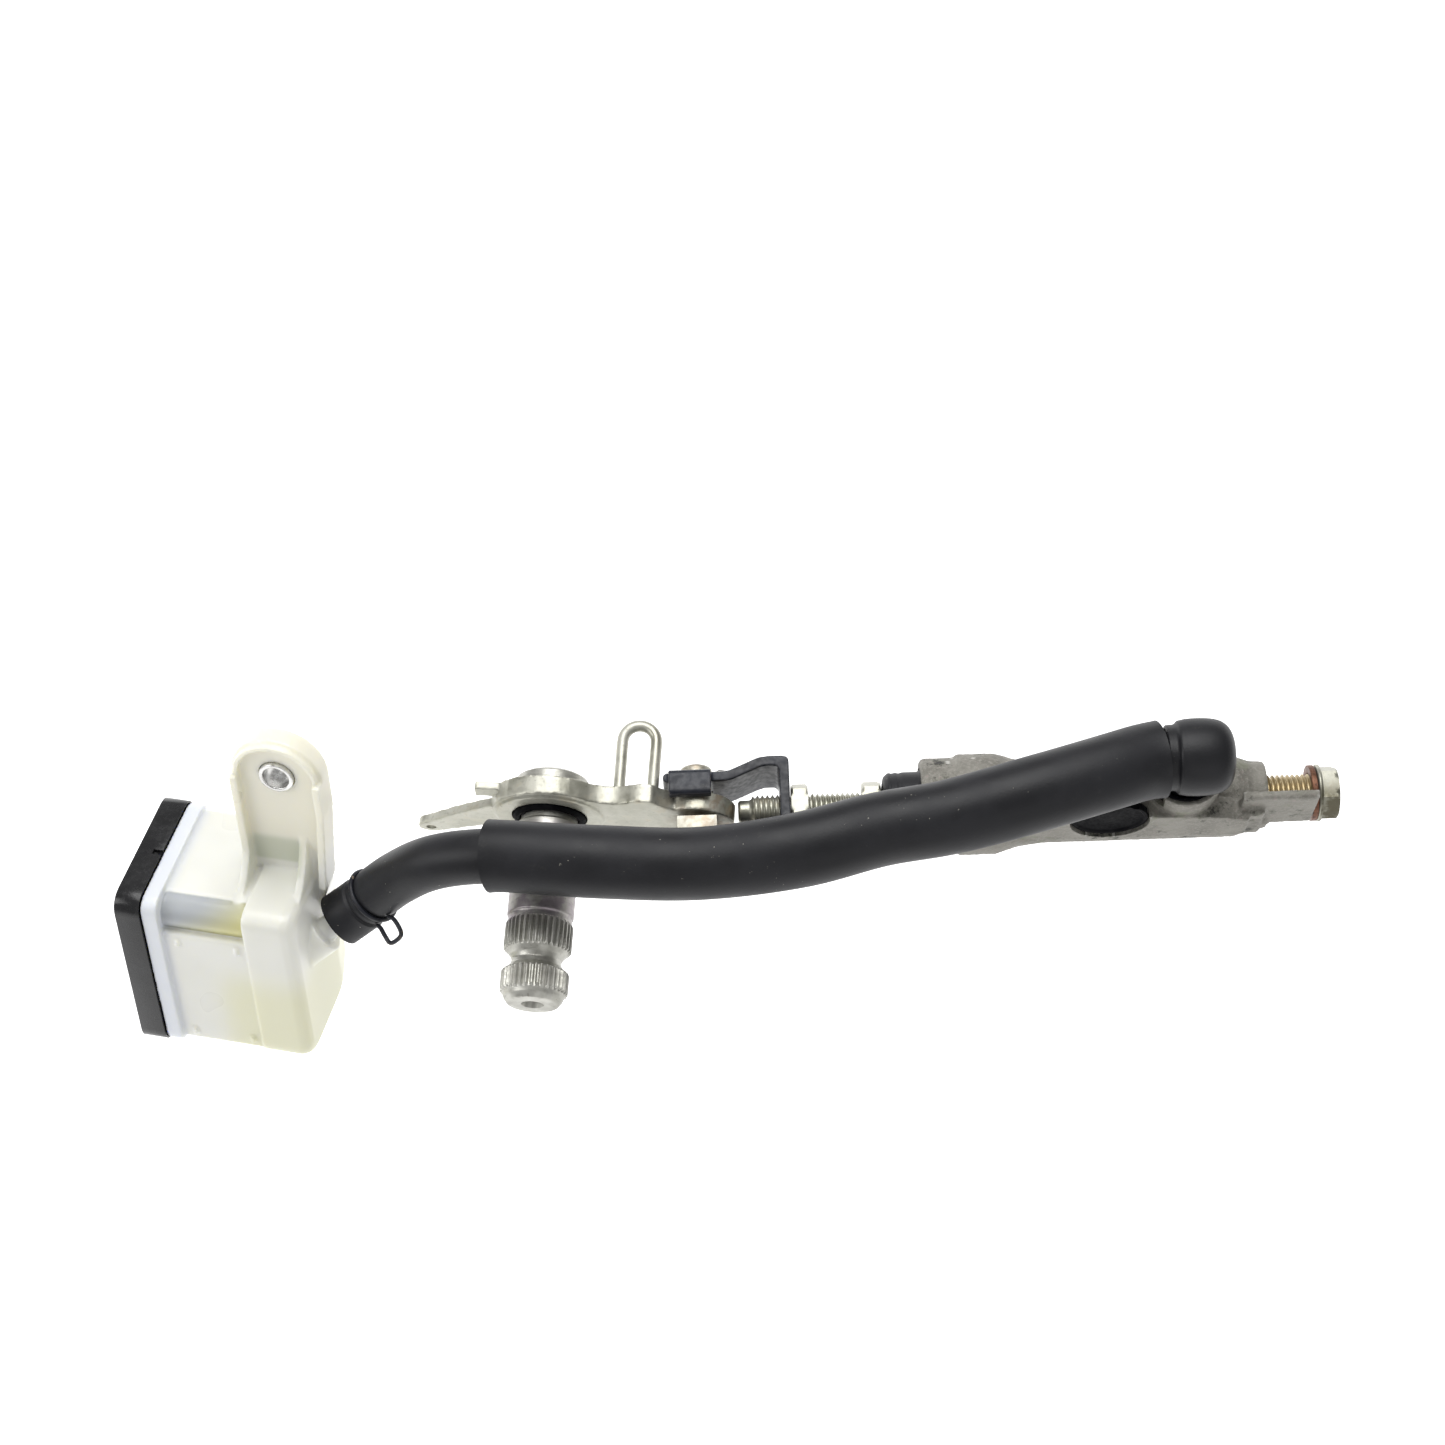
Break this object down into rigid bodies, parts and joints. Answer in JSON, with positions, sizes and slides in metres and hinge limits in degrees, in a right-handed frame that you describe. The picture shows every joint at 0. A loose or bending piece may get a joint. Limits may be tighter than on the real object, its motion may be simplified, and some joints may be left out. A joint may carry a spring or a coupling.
{
  "type": "brake master cylinder",
  "caption": "Motorcycle rear brake master cylinder with remote fluid reservoir, sleeved feed hose, push rod, clevis and splined pedal shaft on its arm.",
  "frame": {"origin": "middle of the flat mounting face, half way between the two fixing holes", "axes": "+X along the cylinder from the push rod to the outlet, +Y out of the mounting face, +Z out of the fluid inlet"},
  "size_m": [0.3041, 0.073, 0.097],
  "materials": {
    "cast_alloy": "rough grey casting, stained with age",
    "zinc_plate": "dull zinc plating with a slight yellow tint",
    "bare_steel": "machined steel with splines, lightly scored",
    "black_paint": "semi-gloss black paint",
    "hose_rubber": "matt black rubber",
    "seal_rubber": "moulded black rubber",
    "tank_plastic": "translucent off-white moulding, yellowed by fluid",
    "cap_plastic": "glossy black moulding",
    "copper": "crushed copper sealing washer",
    "turned_alloy": "turned alloy",
    "spring_steel": "drawn spring wire and pressed steel"
  },
  "bodies": {
    "cylinder": {"cylinder_body": "cast_alloy", "recess_plug": "seal_rubber", "banjo_bolt": "zinc_plate", "banjo_washer": "copper", "circlip": "spring_steel", "stopper_washer": "spring_steel", "return_spring": "spring_steel", "boot": "hose_rubber", "reservoir_body": "tank_plastic", "reservoir_cap": "cap_plastic", "diaphragm": "seal_rubber", "diaphragm_plate": "turned_alloy", "cap_screw_1": "spring_steel", "cap_screw_2": "spring_steel", "stay_collar": "spring_steel", "feed_hose": "hose_rubber", "hose_sleeve": "hose_rubber", "inlet_elbow": "hose_rubber", "inlet_spigot": "cap_plastic", "inlet_clip": "black_paint", "hose_clip": "black_paint"},
    "push_rod": {"push_rod": "zinc_plate", "adjusting_nut": "zinc_plate", "lock_nut": "zinc_plate", "clevis": "black_paint", "clevis_pin": "zinc_plate", "pin_spacer": "zinc_plate", "pin_washer": "zinc_plate", "cotter_pin": "spring_steel", "piston": "turned_alloy", "secondary_cup": "seal_rubber", "primary_cup": "seal_rubber", "spring_seat": "spring_steel"},
    "arm": {"arm": "zinc_plate", "pedal_shaft": "bare_steel", "dust_seal": "seal_rubber", "wire_hook": "zinc_plate"}
  },
  "joints": [
    {"name": "rod_slide", "type": "slide", "parent": "cylinder", "child": "push_rod", "axis": [1, 0, 0], "range_m": [0, 0.006], "stiffness_N_per_m": 1500, "springref_m": -0.01, "deforming": ["return_spring", "boot"]},
    {"name": "arm_swing", "type": "hinge", "parent": "push_rod", "child": "arm", "pos_m": [-0.09275, -0.012, 0.017], "axis": [0, 1, 0], "range_deg": [-20, 3]}
  ]
}
